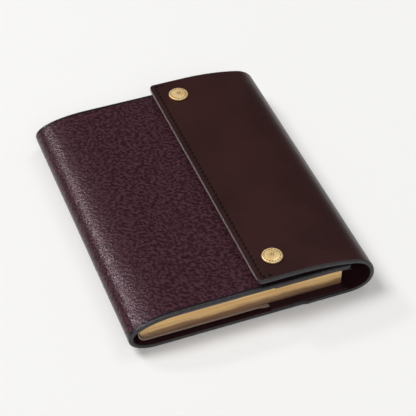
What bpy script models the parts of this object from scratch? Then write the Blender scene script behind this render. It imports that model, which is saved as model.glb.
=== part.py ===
"""A5 leather journal with a wrap-over flap that closes on two press studs.

The journal lies on its back cover: X runs across it from the spine to the fold of the flap,
Y along the spine, Z up from the table. The origin is under the middle of the journal.
Lengths are in metres and angles in degrees.
"""

import math

import bmesh
import bpy
from mathutils import Matrix, Vector

# Sheet stock
LEATHER = 0.0013
LINING = 0.0015
POCKET_LEATHER = 0.0010
BOARD = 0.0005
CARD = 0.0005
SPINE_CLOTH = 0.0004
CLEARANCE = 0.0003

# Paper insert, an A5 block of sewn sections in a card cover
INSERT_WIDTH = 0.148
INSERT_LENGTH = 0.210
CARD_OVERHANG = 0.0015
SECTION_COUNT = 8
SECTION_THICKNESS = 0.0015
FIXED_SECTIONS = 3
CARD_LIP = 0.006
CARD_CREASE = 0.0025
BACK_CARD_STEP = 0.009
BACK_CARD_STEP_GAP = 0.001
FRONT_CARD_STEP = 0.024
FRONT_CARD_STEP_GAP = 0.006

# Leather cover
COVER_LENGTH = 0.221
COVER_OVERHANG = 0.0054
COVER_DROOP = 0.0014
COVER_DROOP_WIDTH = 0.020
COVER_CORNER = 0.004
COVER_SLACK = 0.0024
SPINE_ROOM = 0.0048
SPINE_BEND = 0.041
BACK_BEND = 0.021
FOLD_ROOM = 0.0188
FOLD_BEND = 0.0189
FOLD_TOP_BEND = 0.0154
SEAM_FROM_FOLD = 0.034
SPINE_WIDEST = 0.47
FOLD_WIDEST = 0.379

# Flap
FLAP_REACH = 0.0861
FLAP_EXTRA = 0.00075
FLAP_CORNER = 0.0035
FLAP_RISE = 0.0049
FLAP_RISE_WIDTH = 0.0435
FLAP_SLOPE = 0.24

# Pockets and stiffener boards
POCKET_WIDTH = 0.057
POCKET_INSET = 0.0004
POCKET_END_SEAM = 0.0032
POCKET_SIDE_SEAM = 0.0017
BOARD_MARGIN = 0.009

# Press studs
SNAP_FROM_EDGE = 0.0172
SNAP_FROM_END = 0.0190
SNAP_STAND_OFF = 0.0052
CAP_RADIUS = 0.0075
CAP_HEIGHT = 0.0022
CAP_RIM = 0.0005
CAP_RING_RADIUS = 0.0048
CAP_RING = 0.0003
CAP_DISH = 0.0002
RIVET_RADIUS = 0.0020
RIVET_FLARE_RADIUS = 0.0026
RIVET_FLARE = 0.0003
SOCKET_RADIUS = 0.0060
SOCKET_FOOT_RADIUS = 0.0045
SOCKET_BORE = 0.0032
SOCKET_WEB = 0.0004
SOCKET_LIP = 0.0003
SPRING_WIRE = 0.00025
SPRING_RADIUS = 0.00315
SPRING_GAP = 40.0
STUD_HEAD_RADIUS = 0.0022
STUD_HEAD_HEIGHT = 0.0008
STUD_NECK_RADIUS = 0.0018
STUD_WALL = 0.0003
STUD_FLANGE_RADIUS = 0.0055
STUD_FLANGE = 0.0005
STUD_BORE = 0.0012
POST_RADIUS = 0.0009
POST_FLARE_RADIUS = 0.00135
POST_FLARE = 0.0003
POST_PLATE_RADIUS = 0.0050
POST_PLATE = 0.0005
BRASS_ROUND = 0.0002

# Opening of the flap, and of the cover that springs up behind it
FLAP_OPENING = 172.0
SPINE_OPENING = 6.8
FRONT_OPENING = 6.8
TOP_SECTION_OPENING = 11.5
FOLD_SEGMENTS = 4
ROOT_TURN = 0.5

# Heights, stacked up from the table
PLY = LEATHER + CLEARANCE + LINING
POCKET_STACK = CARD + POCKET_LEATHER + 2 * CLEARANCE
BLOCK_BOTTOM = PLY + POCKET_STACK + CLEARANCE
SECTION_PITCH = SECTION_THICKNESS + CLEARANCE
BLOCK_TOP = BLOCK_BOTTOM + SECTION_COUNT * SECTION_PITCH - CLEARANCE
FRONT_INSIDE = BLOCK_TOP + COVER_SLACK + POCKET_STACK + CLEARANCE
FRONT_TOP = FRONT_INSIDE + PLY
FLAP_TOP = FRONT_TOP + SNAP_STAND_OFF + PLY
STUD_BOTTOM = FRONT_TOP + CLEARANCE
STUD_FLANGE_TOP = STUD_BOTTOM + STUD_FLANGE
SOCKET_BOTTOM = STUD_FLANGE_TOP + CLEARANCE
SOCKET_TOP = FLAP_TOP - PLY - CLEARANCE
SOCKET_ROOF = SOCKET_TOP - SOCKET_WEB
RIVET_END = SOCKET_ROOF - CLEARANCE / 2 - RIVET_FLARE
STUD_TOP = RIVET_END - CLEARANCE
SPRING_HEIGHT = SOCKET_BOTTOM + SOCKET_LIP + CLEARANCE / 2 + SPRING_WIRE

# Places across the journal
WIDTH = PLY + SPINE_ROOM + INSERT_WIDTH + FOLD_ROOM + PLY
LEFT = -WIDTH / 2
RIGHT = WIDTH / 2
INSERT_LEFT = LEFT + PLY + SPINE_ROOM
FORE_EDGE = INSERT_LEFT + INSERT_WIDTH
COVER_EDGE = FORE_EDGE + COVER_OVERHANG
FOLD_START = RIGHT - FOLD_BEND
SEAM = FOLD_START - SEAM_FROM_FOLD
FLAP_EDGE = RIGHT - FLAP_REACH
SNAP_X = FLAP_EDGE + SNAP_FROM_EDGE
FLAP_LENGTH = COVER_LENGTH + 2 * FLAP_EXTRA
SNAP_Y = FLAP_LENGTH / 2 - SNAP_FROM_END
POCKET_LENGTH = COVER_LENGTH - 2 * POCKET_INSET
CARD_LENGTH = INSERT_LENGTH + 2 * CARD_OVERHANG

# Colours of the materials, linear
BURGUNDY = (0.052, 0.021, 0.026)
BROWN = (0.036, 0.016, 0.015)
DARK_LINING = (0.014, 0.009, 0.011)
BOARD_GREY = (0.30, 0.29, 0.27)
CARD_CREAM = (0.62, 0.50, 0.42)
GILT = (0.52, 0.32, 0.12)
CLOTH_WHITE = (0.60, 0.57, 0.50)
BRASS = (0.70, 0.48, 0.22)
STEEL = (0.55, 0.55, 0.54)

PARTS = "leather_journal"
CUTTERS = "cutters"


def clear_scene():
    for obj in list(bpy.data.objects):
        bpy.data.objects.remove(obj, do_unlink=True)


def collection(name):
    found = bpy.data.collections.get(name)
    if found is None:
        found = bpy.data.collections.new(name)
        bpy.context.scene.collection.children.link(found)
    return found


def material(name, colour, roughness, metallic=0.0):
    made = bpy.data.materials.new(name)
    made.use_nodes = True
    shader = made.node_tree.nodes["Principled BSDF"]
    shader.inputs["Base Color"].default_value = (*colour, 1.0)
    shader.inputs["Roughness"].default_value = roughness
    shader.inputs["Metallic"].default_value = metallic
    made.diffuse_color = (*colour, 1.0)
    return made


# Section curves: points (x, z) on an outer surface, with the inside on the left of the way along

def bezier(start, handle_a, handle_b, end, steps):
    """Points of a cubic curve, without its start."""
    points = []
    for step in range(1, steps + 1):
        t = step / steps
        a, b, c, d = (1 - t) ** 3, 3 * t * (1 - t) ** 2, 3 * t * t * (1 - t), t**3
        x = a * start[0] + b * handle_a[0] + c * handle_b[0] + d * end[0]
        z = a * start[1] + b * handle_a[1] + c * handle_b[1] + d * end[1]
        points.append((x, z))
    return points


class Section:
    """A section curve with its length along and its inward normals."""

    def __init__(self, points):
        self.points = [Vector(p) for p in points]
        self.along = [0.0]
        for a, b in zip(self.points, self.points[1:]):
            self.along.append(self.along[-1] + (b - a).length)
        normals = []
        for a, b in zip(self.points, self.points[1:]):
            way = (b - a).normalized()
            normals.append(Vector((-way.y, way.x)))
        self.normals = [normals[0]]
        for a, b in zip(normals, normals[1:]):
            self.normals.append((a + b).normalized())
        self.normals.append(normals[-1])

    @property
    def length(self):
        return self.along[-1]

    def at(self, s):
        """Point and inward normal at length s."""
        s = min(max(s, 0.0), self.length)
        for i in range(len(self.points) - 1):
            if s <= self.along[i + 1] or i == len(self.points) - 2:
                share = (s - self.along[i]) / (self.along[i + 1] - self.along[i])
                point = self.points[i].lerp(self.points[i + 1], share)
                normal = self.normals[i].lerp(self.normals[i + 1], share).normalized()
                return point, normal

    def strip(self, start, end, outer, inner):
        """Closed outline between two lengths, from depth outer to depth inner."""
        least = 0.0001
        stations = [start]
        stations += [s for s in self.along if start + least < s < end - least]
        stations.append(end)
        rows = [self.at(s) for s in stations]
        outside = [p + n * outer for p, n in rows]
        inside = [p + n * inner for p, n in reversed(rows)]
        return [(p.x, p.y) for p in outside + inside]


def cover_section():
    """The whole cover in one curve: front, spine, back, fold and flap, with its landmarks."""
    marks = {}
    points = [(COVER_EDGE, FRONT_TOP - COVER_DROOP)]
    droop_start = COVER_EDGE - COVER_DROOP_WIDTH
    points += bezier(
        points[0],
        (COVER_EDGE - 0.35 * COVER_DROOP_WIDTH, FRONT_TOP - 0.3 * COVER_DROOP),
        (COVER_EDGE - 0.6 * COVER_DROOP_WIDTH, FRONT_TOP),
        (droop_start, FRONT_TOP),
        4,
    )
    flat_start = LEFT + SPINE_BEND
    points.append((flat_start, FRONT_TOP))
    widest = SPINE_WIDEST * FRONT_TOP
    points += bezier(
        points[-1],
        (LEFT + 0.44 * SPINE_BEND, FRONT_TOP),
        (LEFT, widest + 0.65 * (FRONT_TOP - widest)),
        (LEFT, widest),
        10,
    )
    marks["front_hinge"] = len(points) - 8
    points += bezier(
        points[-1],
        (LEFT, 0.35 * widest),
        (LEFT + 0.43 * BACK_BEND, 0.0),
        (LEFT + BACK_BEND, 0.0),
        8,
    )
    marks["spine_hinge"] = len(points) - 4
    points.append((FOLD_START, 0.0))
    marks["fold_start"] = len(points) - 1
    widest = FOLD_WIDEST * FLAP_TOP
    points += bezier(
        points[-1],
        (FOLD_START + 0.58 * FOLD_BEND, 0.0),
        (RIGHT, 0.33 * widest),
        (RIGHT, widest),
        8,
    )
    fold_top = (RIGHT - FOLD_TOP_BEND, FLAP_TOP - FLAP_RISE)
    run = 0.7 * FOLD_TOP_BEND
    points += bezier(
        points[-1],
        (RIGHT, widest + 0.45 * (fold_top[1] - widest)),
        (fold_top[0] + run, fold_top[1] - FLAP_SLOPE * run),
        fold_top,
        10,
    )
    marks["fold_end"] = len(points) - 1
    run = 0.25 * FLAP_RISE_WIDTH
    rise_end = fold_top[0] - FLAP_RISE_WIDTH
    points += bezier(
        points[-1],
        (fold_top[0] - run, fold_top[1] + FLAP_SLOPE * run),
        (rise_end + 0.41 * FLAP_RISE_WIDTH, FLAP_TOP),
        (rise_end, FLAP_TOP),
        7,
    )
    points.append((FLAP_EDGE, FLAP_TOP))
    section = Section(points)
    return section, {name: section.along[i] for name, i in marks.items()}


def insert_section():
    """The insert's card from its front crease round the spine and under the block."""
    top = BLOCK_TOP + CLEARANCE + CARD
    bottom = BLOCK_BOTTOM - CLEARANCE - CARD
    in_pocket = PLY + CLEARANCE
    middle = (top + bottom) / 2
    lip = INSERT_LEFT + CARD_LIP
    mouth = FOLD_START - POCKET_WIDTH
    points = [(lip, top)]
    points += bezier(
        points[0],
        (INSERT_LEFT + 0.3 * CARD_LIP, top),
        (INSERT_LEFT, middle + 0.6 * (top - middle)),
        (INSERT_LEFT, middle),
        6,
    )
    points += bezier(
        points[-1],
        (INSERT_LEFT, middle - 0.6 * (middle - bottom)),
        (INSERT_LEFT + 0.3 * CARD_LIP, bottom),
        (lip, bottom),
        6,
    )
    spine_end = len(points) - 1
    step_end = mouth - BACK_CARD_STEP_GAP
    step_start = step_end - BACK_CARD_STEP
    points.append((step_start, bottom))
    points += bezier(
        points[-1],
        (0.5 * (step_start + step_end), bottom),
        (0.5 * (step_start + step_end), in_pocket),
        (step_end, in_pocket),
        5,
    )
    points.append((FORE_EDGE, in_pocket))
    section = Section(points)
    return section, section.along[spine_end]


# Solids

def add(obj, group=PARTS):
    collection(group).objects.link(obj)
    return obj


def mesh_of(obj):
    """Welded mesh of a curve object, in world space."""
    bpy.context.view_layer.update()
    graph = bpy.context.evaluated_depsgraph_get()
    mesh = bpy.data.meshes.new_from_object(obj.evaluated_get(graph))
    mesh.transform(obj.matrix_world)
    work = bmesh.new()
    work.from_mesh(mesh)
    bmesh.ops.remove_doubles(work, verts=work.verts, dist=0.000001)
    bmesh.ops.recalc_face_normals(work, faces=work.faces)
    work.to_mesh(mesh)
    work.free()
    curve = obj.data
    bpy.data.objects.remove(obj, do_unlink=True)
    bpy.data.curves.remove(curve)
    return mesh


def outline_mesh(name, outline, thickness, upright=True):
    """An outline extruded both ways: an (x, z) section along Y, or an (x, y) plan along Z."""
    curve = bpy.data.curves.new(name, "CURVE")
    curve.dimensions = "2D"
    curve.fill_mode = "BOTH"
    curve.extrude = thickness / 2
    spline = curve.splines.new("POLY")
    spline.points.add(len(outline) - 1)
    for point, (a, b) in zip(spline.points, outline):
        point.co = (a, b, 0.0, 1.0)
    spline.use_cyclic_u = True
    obj = add(bpy.data.objects.new(name + "_outline", curve))
    if upright:
        obj.rotation_euler = (math.pi / 2, 0.0, 0.0)
    mesh = mesh_of(obj)
    mesh.name = name
    return mesh


def turned(name, profile, centre, steps, group=PARTS):
    """A turned piece from a profile of (radius, z) that runs down its outer side."""
    mesh = bpy.data.meshes.new(name)
    points = [(radius, 0.0, z) for radius, z in profile]
    edges = [(i, i + 1) for i in range(len(points) - 1)]
    if profile[0][0] > 0.0:
        edges.append((len(points) - 1, 0))
    mesh.from_pydata(points, edges, [])
    obj = add(bpy.data.objects.new(name, mesh), group)
    obj.location = centre
    screw = obj.modifiers.new("turn", "SCREW")
    screw.steps = steps
    screw.render_steps = steps
    screw.use_merge_vertices = True
    screw.merge_threshold = 0.00001
    return obj


def cutter_from(mesh):
    obj = add(bpy.data.objects.new(mesh.name, mesh), CUTTERS)
    obj.display_type = "WIRE"
    obj.hide_render = True
    return obj


def cylinder_cutter(name, radius, centre, height, vertices=24):
    bpy.ops.mesh.primitive_cylinder_add(
        vertices=vertices, radius=radius, depth=height, location=centre
    )
    obj = bpy.context.object
    obj.name = name
    for home in list(obj.users_collection):
        home.objects.unlink(obj)
    add(obj, CUTTERS)
    obj.display_type = "WIRE"
    obj.hide_render = True
    return obj


def corner_cutter(name, x, y, radius, low, high, toward_x, toward_y):
    """What a rounded corner at x, y takes off, with the material in the directions given."""
    outline = [(x - toward_x * radius, y - toward_y * radius)]
    outline.append((x + toward_x * radius, y - toward_y * radius))
    outline.append((x + toward_x * radius, y))
    steps = 6
    for step in range(1, steps):
        turn = math.radians(90 * step / steps)
        across = x + toward_x * radius * (1 - math.sin(turn))
        outline.append((across, y + toward_y * radius * (1 - math.cos(turn))))
    outline.append((x, y + toward_y * radius))
    outline.append((x - toward_x * radius, y + toward_y * radius))
    mesh = outline_mesh(name, outline, high - low, upright=False)
    mesh.transform(Matrix.Translation((0.0, 0.0, (high + low) / 2)))
    return cutter_from(mesh)


def cut(obj, cutters):
    for cutter in cutters:
        step = obj.modifiers.new(cutter.name, "BOOLEAN")
        step.operation = "DIFFERENCE"
        step.solver = "EXACT"
        step.object = cutter
    return obj


def finish(obj, pivot, colour, roughness, metallic=0.0):
    """Material, smooth shading, and the origin on the joint that the piece turns about."""
    obj.data.materials.clear()
    obj.data.materials.append(material(obj.name, colour, roughness, metallic))
    if obj.modifiers.get("turn") is None:
        obj.data.transform(Matrix.Translation(-pivot.matrix_world.translation) @ obj.matrix_world)
        obj.location = (0.0, 0.0, 0.0)
    else:
        obj.location = obj.location - pivot.matrix_world.translation
    obj.data.shade_smooth()
    obj.data.set_sharp_from_angle(angle=math.radians(30))
    obj.parent = pivot
    return obj


def piece(name, outline, length, pivot, colour, roughness):
    """A piece of the given section, along Y."""
    mesh = outline_mesh(name, outline, length)
    obj = add(bpy.data.objects.new(name, mesh))
    return finish(obj, pivot, colour, roughness)


def pivot_at(name, place, parent=None):
    empty = add(bpy.data.objects.new(name, None))
    empty.empty_display_size = 0.01
    empty.location = place
    if parent is not None:
        empty.parent = parent
        empty.location = Vector(place) - parent.matrix_world.translation
    bpy.context.view_layer.update()
    return empty


# Joints

def turn_between(a, b):
    """Angle in degrees from direction a to direction b, anticlockwise in the (x, z) plane."""
    return math.degrees(math.atan2(a.x * b.y - a.y * b.x, a.dot(b)))


def fold_hinges(cover, marks):
    """Places of the fold's hinges, on the outer surface, and the share of the turn that each takes."""
    lengths = []
    for i in range(FOLD_SEGMENTS + 1):
        share = i / FOLD_SEGMENTS
        lengths.append(marks["fold_start"] + share * (marks["fold_end"] - marks["fold_start"]))
    places = [cover.at(s)[0] for s in lengths]
    ways = [Vector((1.0, 0.0))]
    ways += [b - a for a, b in zip(places, places[1:])]
    ways.append(cover.points[-1] - places[-1])
    turns = [turn_between(a, b) for a, b in zip(ways, ways[1:])]
    # The leather stays curled where it leaves the table, so the first hinge turns less than its bend.
    turns[0] *= ROOT_TURN
    whole = sum(turns)
    return lengths, places, [FLAP_OPENING * turn / whole for turn in turns]


def build_pivots(cover, marks):
    pivots = {"back": pivot_at("back_frame", (0.0, 0.0, 0.0))}
    place = cover.at(marks["spine_hinge"])[0]
    pivots["spine"] = pivot_at("spine_hinge", (place.x, 0.0, place.y), pivots["back"])
    place = cover.at(marks["front_hinge"])[0]
    pivots["front"] = pivot_at("front_hinge", (place.x, 0.0, place.y), pivots["spine"])
    lengths, places, turns = fold_hinges(cover, marks)
    parent = pivots["back"]
    for i, place in enumerate(places):
        body = f"fold_{i + 1}" if i < FOLD_SEGMENTS else "flap"
        parent = pivot_at(f"{body}_hinge", (place.x, 0.0, place.y), parent)
        pivots[body] = parent
        print(f"hinge {body} x {place.x:.6f} z {place.y:.6f} opens {turns[i]:.4f}")
    for body, opens in (("spine", SPINE_OPENING), ("front", FRONT_OPENING)):
        place = pivots[body].matrix_world.translation
        print(f"hinge {body} x {place.x:.6f} z {place.z:.6f} opens {opens:.4f}")
    return pivots, lengths


# Cover

def corner_cutters(name, x, length, radius, toward_x, low, high):
    """Rounds the two corners of an edge at x."""
    made = []
    for end, side in (("near", -1), ("far", 1)):
        y = side * length / 2
        made.append(corner_cutter(f"{name}_{end}", x, y, radius, low, high, toward_x, -side))
    return made


def rivet_hole_cutters(name, radius, low, high):
    made = []
    for end, side in (("near", -1), ("far", 1)):
        centre = (SNAP_X, side * SNAP_Y, (low + high) / 2)
        made.append(cylinder_cutter(f"{name}_{end}", radius, centre, high - low))
    return made


def board_outline(low, high):
    """Front board, between the spine bend and the droop of the free edge."""
    left = LEFT + SPINE_BEND
    right = COVER_EDGE - COVER_DROOP_WIDTH
    return [(left, low), (right, low), (right, high), (left, high)]


def widen(outline, side, low, high):
    """A box outline grown by side in x, with new heights."""
    left = min(x for x, _ in outline) - side
    right = max(x for x, _ in outline) + side
    return [(left, low), (right, low), (right, high), (left, high)]


def build_front(cover, marks, pivot):
    hinge = marks["front_hinge"]
    end = hinge - CLEARANCE / 2
    leather = cover.strip(0.0, end, 0.0, LEATHER)
    corners = corner_cutters(
        "cut_cover_corner", COVER_EDGE, COVER_LENGTH, COVER_CORNER, -1, BLOCK_TOP, FRONT_TOP + PLY
    )
    obj = piece("front_cover_leather", leather, COVER_LENGTH, pivot, BURGUNDY, 0.55)
    post_holes = rivet_hole_cutters(
        "cut_post_hole", POST_RADIUS + CLEARANCE, FRONT_INSIDE + LINING, FRONT_TOP + CLEARANCE
    )
    cut(obj, corners + post_holes)

    lining = cover.strip(0.0, end, LEATHER + CLEARANCE, PLY)
    obj = piece("front_cover_lining", lining, COVER_LENGTH, pivot, DARK_LINING, 0.7)
    top = FRONT_TOP - LEATHER - CLEARANCE
    board = board_outline(top - BOARD, top)
    board_length = COVER_LENGTH - 2 * BOARD_MARGIN
    recess = widen(board, CLEARANCE, top - BOARD - CLEARANCE, top + CLEARANCE / 2)
    recess_mesh = outline_mesh("cut_front_board", recess, board_length + 2 * CLEARANCE)
    cut(obj, corners + [cutter_from(recess_mesh)])
    plates = rivet_hole_cutters(
        "cut_post_plate", POST_PLATE_RADIUS + CLEARANCE, top - BOARD - CLEARANCE, top + CLEARANCE / 2
    )
    obj = piece("front_stiffener_board", board, board_length, pivot, BOARD_GREY, 0.8)
    cut(obj, plates)


def build_spine(cover, marks, pivot):
    start = marks["front_hinge"] + CLEARANCE / 2
    end = marks["spine_hinge"] - CLEARANCE / 2
    leather = cover.strip(start, end, 0.0, LEATHER)
    piece("spine_leather", leather, COVER_LENGTH, pivot, BURGUNDY, 0.55)
    lining = cover.strip(start, end, LEATHER + CLEARANCE, PLY)
    piece("spine_lining", lining, COVER_LENGTH, pivot, DARK_LINING, 0.7)


def build_back(cover, marks, pivot, hinges):
    start = marks["spine_hinge"] + CLEARANCE / 2
    end = hinges[0] - CLEARANCE / 2
    seam = marks["fold_start"] - (FOLD_START - SEAM)
    leather = cover.strip(start, seam - CLEARANCE / 2, 0.0, LEATHER)
    piece("back_cover_leather", leather, COVER_LENGTH, pivot, BURGUNDY, 0.55)
    leather = cover.strip(seam + CLEARANCE / 2, end, 0.0, LEATHER)
    piece("flap_root_leather", leather, FLAP_LENGTH, pivot, BROWN, 0.5)

    lining = cover.strip(start, end, LEATHER + CLEARANCE, PLY)
    obj = piece("back_cover_lining", lining, COVER_LENGTH, pivot, DARK_LINING, 0.7)
    low = LEATHER + CLEARANCE
    left = LEFT + BACK_BEND
    right = FOLD_START - BOARD_MARGIN
    board = [(left, low), (right, low), (right, low + BOARD), (left, low + BOARD)]
    board_length = COVER_LENGTH - 2 * BOARD_MARGIN
    recess = widen(board, CLEARANCE, low - CLEARANCE / 2, low + BOARD + CLEARANCE)
    recess_mesh = outline_mesh("cut_back_board", recess, board_length + 2 * CLEARANCE)
    cut(obj, [cutter_from(recess_mesh)])
    piece("back_stiffener_board", board, board_length, pivot, BOARD_GREY, 0.8)


def build_fold(cover, pivots, hinges):
    for i in range(FOLD_SEGMENTS):
        start = hinges[i] + CLEARANCE / 2
        end = hinges[i + 1] - CLEARANCE / 2
        pivot = pivots[f"fold_{i + 1}"]
        leather = cover.strip(start, end, 0.0, LEATHER)
        piece(f"fold_leather_{i + 1}", leather, FLAP_LENGTH, pivot, BROWN, 0.5)
        lining = cover.strip(start, end, LEATHER + CLEARANCE, PLY)
        piece(f"fold_lining_{i + 1}", lining, FLAP_LENGTH, pivot, DARK_LINING, 0.7)


def build_flap(cover, pivot, start):
    corners = corner_cutters(
        "cut_flap_corner", FLAP_EDGE, FLAP_LENGTH, FLAP_CORNER, 1, FRONT_TOP, FLAP_TOP + PLY
    )
    holes = rivet_hole_cutters(
        "cut_rivet_hole", RIVET_RADIUS + CLEARANCE, FLAP_TOP - 2 * PLY, FLAP_TOP + PLY
    )
    leather = cover.strip(start + CLEARANCE / 2, cover.length, 0.0, LEATHER)
    obj = piece("flap_leather", leather, FLAP_LENGTH, pivot, BROWN, 0.5)
    cut(obj, corners + holes)
    lining = cover.strip(start + CLEARANCE / 2, cover.length, LEATHER + CLEARANCE, PLY)
    obj = piece("flap_lining", lining, FLAP_LENGTH, pivot, DARK_LINING, 0.7)
    cut(obj, corners + holes)


# Pockets

def build_back_pocket(pivot):
    """Sewn to the back lining on three sides, open towards the spine."""
    low = PLY + CLEARANCE
    high = low + CARD + CLEARANCE + POCKET_LEATHER
    mouth = FOLD_START - POCKET_WIDTH
    outline = [(mouth, low), (FOLD_START, low), (FOLD_START, high), (mouth, high)]
    obj = piece("back_pocket", outline, POCKET_LENGTH, pivot, BROWN, 0.6)
    roof = high - POCKET_LEATHER
    inner = FOLD_START - POCKET_SIDE_SEAM
    room = [(mouth - low, low - CARD), (inner, low - CARD), (inner, roof), (mouth - low, roof)]
    room_length = POCKET_LENGTH - 2 * POCKET_END_SEAM
    cut(obj, [cutter_from(outline_mesh("cut_back_pocket", room, room_length))])


def build_front_pocket(cover, pivot):
    """The same pocket inside the front cover, following the droop of its free edge."""
    depth = PLY + CLEARANCE
    thick = CARD + CLEARANCE + POCKET_LEATHER
    outline = cover.strip(POCKET_INSET, POCKET_INSET + POCKET_WIDTH, depth, depth + thick)
    obj = piece("front_pocket", outline, POCKET_LENGTH, pivot, BROWN, 0.6)
    start = POCKET_INSET + POCKET_SIDE_SEAM
    end = POCKET_INSET + POCKET_WIDTH + CARD_LIP
    room = cover.strip(start, end, depth - CARD, depth + thick - POCKET_LEATHER)
    room_length = POCKET_LENGTH - 2 * POCKET_END_SEAM
    cut(obj, [cutter_from(outline_mesh("cut_front_pocket", room, room_length))])


# Insert

def front_card_section(cover):
    """The insert's front card, from the front pocket down to the block."""
    depth = PLY + CLEARANCE
    tucked = POCKET_INSET + POCKET_SIDE_SEAM + CLEARANCE
    mouth = POCKET_INSET + POCKET_WIDTH
    points = []
    for s in [tucked] + [v for v in cover.along if tucked < v < mouth] + [mouth]:
        place, normal = cover.at(s)
        points.append(tuple(place + normal * depth))
    high = points[-1][1]
    low = BLOCK_TOP + CLEARANCE + CARD
    step_start = points[-1][0] - FRONT_CARD_STEP_GAP
    step_end = step_start - FRONT_CARD_STEP
    points.append((step_start, high))
    points += bezier(
        points[-1],
        (0.5 * (step_start + step_end), high),
        (0.5 * (step_start + step_end), low),
        (step_end, low),
        6,
    )
    crease = INSERT_LEFT + CARD_LIP + CARD_CREASE
    points.append((crease, low))
    return Section(points)


def section_centre(card, z, depth):
    """Where a round fold at height z fits behind the card at that depth."""
    x = INSERT_LEFT
    for point in card.points:
        rest = depth * depth - (z - point.y) ** 2
        if rest >= 0.0 and point.x <= INSERT_LEFT + CARD_LIP:
            x = max(x, point.x + math.sqrt(rest))
    return x


def section_outline(x, z):
    """A folded section: round at the spine, square at the fore-edge."""
    half = SECTION_THICKNESS / 2
    points = [(FORE_EDGE, z - half), (FORE_EDGE, z + half)]
    for step in range(0, 5):
        turn = math.radians(90 + 45 * step)
        points.append((x + half * math.cos(turn), z + half * math.sin(turn)))
    return points


def build_insert(cover, pivots):
    card, spine_end = insert_section()
    outline = card.strip(0.0, card.length, 0.0, CARD)
    piece("insert_back_card", outline, CARD_LENGTH, pivots["back"], CARD_CREAM, 0.7)
    start = 0.30 * spine_end
    end = 0.70 * spine_end
    depth = CARD + CLEARANCE
    outline = card.strip(start, end, depth, depth + SPINE_CLOTH)
    cloth_length = INSERT_LENGTH - 4 * CARD_LIP
    piece("insert_spine_cloth", outline, cloth_length, pivots["back"], CLOTH_WHITE, 0.9)
    front_card = front_card_section(cover)
    outline = front_card.strip(0.0, front_card.length, 0.0, CARD)
    piece("insert_front_card", outline, CARD_LENGTH, pivots["front"], CARD_CREAM, 0.7)

    for i in range(SECTION_COUNT):
        z = BLOCK_BOTTOM + i * SECTION_PITCH + SECTION_THICKNESS / 2
        depth = CARD + CLEARANCE + SECTION_THICKNESS / 2
        if 0 < i < SECTION_COUNT - 1:
            depth += SPINE_CLOTH + CLEARANCE
        x = section_centre(card, z, depth)
        pivot = pivots["back"]
        if i >= FIXED_SECTIONS:
            name = f"pages_{i + 1}_hinge"
            pivot = pivot_at(name, (x, 0.0, z), pivots["back"])
            moving = SECTION_COUNT - FIXED_SECTIONS
            opens = TOP_SECTION_OPENING * (i + 1 - FIXED_SECTIONS) / moving
            print(f"hinge pages_{i + 1} x {x:.6f} z {z:.6f} opens {opens:.4f}")
        outline = section_outline(x, z)
        piece(f"pages_{i + 1}", outline, INSERT_LENGTH, pivot, GILT, 0.35)


# Press studs

def cap_profile():
    """Domed brass cap with a raised ring round its face, and the rivet flared under the socket's web."""
    base = FLAP_TOP + CLEARANCE
    top = base + CAP_HEIGHT
    shoulder = CAP_RING_RADIUS + CAP_RING
    profile = [(0.0, top - CAP_DISH)]
    profile.append((CAP_RING_RADIUS - 2 * CAP_RING, top - CAP_DISH))
    profile.append((CAP_RING_RADIUS - CAP_RING, top))
    profile.append((shoulder, top))
    steps = 6
    for step in range(1, steps):
        turn = math.radians(90 * step / steps)
        out = shoulder + (CAP_RADIUS - shoulder) * math.sin(turn)
        profile.append((out, base + CAP_RIM + (CAP_HEIGHT - CAP_RIM) * math.cos(turn)))
    profile.append((CAP_RADIUS, base + CAP_RIM))
    profile.append((CAP_RADIUS - CAP_RIM, base))
    profile.append((RIVET_RADIUS, base))
    profile.append((RIVET_RADIUS, RIVET_END + RIVET_FLARE))
    profile.append((RIVET_FLARE_RADIUS, RIVET_END + RIVET_FLARE / 2))
    profile.append((RIVET_FLARE_RADIUS, RIVET_END))
    profile.append((0.0, RIVET_END))
    return profile


def socket_profile():
    """Socket under the flap: rivet hole above, bore for the stud below, spring groove in its wall."""
    groove_low = SOCKET_BOTTOM + SOCKET_LIP
    groove_high = groove_low + 2 * SPRING_WIRE + CLEARANCE
    groove = SPRING_RADIUS + SPRING_WIRE + CLEARANCE
    rivet = RIVET_RADIUS + CLEARANCE
    return [
        (rivet, SOCKET_TOP),
        (SOCKET_RADIUS - BRASS_ROUND, SOCKET_TOP),
        (SOCKET_RADIUS, SOCKET_TOP - BRASS_ROUND),
        (SOCKET_RADIUS, SOCKET_ROOF),
        (SOCKET_FOOT_RADIUS + BRASS_ROUND, SOCKET_BOTTOM + BRASS_ROUND),
        (SOCKET_FOOT_RADIUS, SOCKET_BOTTOM),
        (SOCKET_BORE, SOCKET_BOTTOM),
        (SOCKET_BORE, groove_low),
        (groove, groove_low),
        (groove, groove_high),
        (SOCKET_BORE, groove_high),
        (SOCKET_BORE, SOCKET_ROOF),
        (rivet, SOCKET_ROOF),
    ]


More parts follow.
